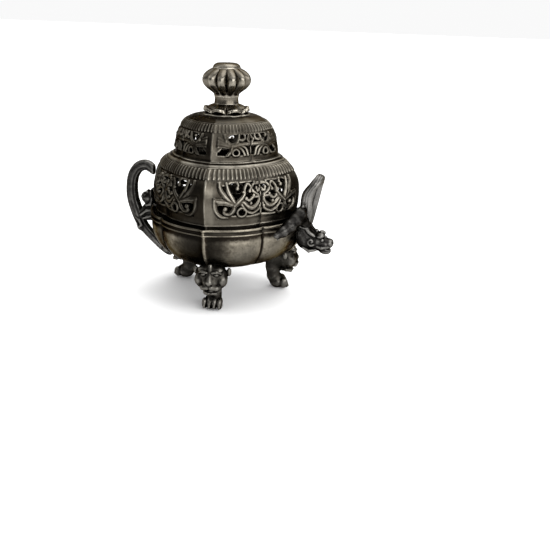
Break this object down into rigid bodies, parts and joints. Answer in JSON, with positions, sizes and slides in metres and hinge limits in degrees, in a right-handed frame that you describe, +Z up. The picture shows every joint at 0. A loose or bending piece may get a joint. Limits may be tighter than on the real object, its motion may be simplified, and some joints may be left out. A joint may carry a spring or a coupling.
{
  "type": "tripod incense burner",
  "caption": "Footed table censer: lobed bowl on beast-mask legs, tail and dragon handles, and a pierced two-tier domed lid that lifts off by a fluted knob.",
  "frame": {"origin": "on the floor under the middle of the object's box, which is 2.4 mm from the bowl's axis because the dragon's snout reaches further than the tail loop", "axes": "+Z up, the handles along X with the dragon's head towards +X, a lobe's ridge and the front leg towards -Y"},
  "size_m": [0.1624, 0.1152, 0.1714],
  "materials": {
    "silvered_bronze": "aged satin",
    "lid_bronze": "aged satin, dark in the recesses",
    "leg_bronze": "aged satin, worn on the high points",
    "handle_bronze": "dark aged satin",
    "knob_bronze": "polished by handling",
    "brass_fixings": "dull"
  },
  "bodies": {
    "base": {"bowl": "silvered_bronze", "bowl_rim_band": "silvered_bronze", "front_leg": "leg_bronze", "right_rear_leg": "leg_bronze", "left_rear_leg": "leg_bronze", "leg_rivets": "brass_fixings", "tail_loop_handle": "handle_bronze", "tail_handle_crest": "handle_bronze", "dragon_head": "handle_bronze", "dragon_mane_arch": "handle_bronze", "dragon_claw_arm": "handle_bronze", "handle_rivets": "brass_fixings"},
    "lid": {"lid_seat_ring": "lid_bronze", "lid_lower_tier": "lid_bronze", "lid_step_ring": "lid_bronze", "lid_upper_tier": "lid_bronze", "lotus_collar": "knob_bronze", "knob_neck": "knob_bronze", "fluted_knob": "knob_bronze", "knob_button": "knob_bronze", "tie_rod": "brass_fixings", "tie_washer": "brass_fixings", "tie_nut": "brass_fixings"}
  },
  "joints": [
    {"name": "lid_lift", "type": "slide", "parent": "base", "child": "lid", "axis": [0, 0, 1], "range_m": [0, 0.06]}
  ]
}
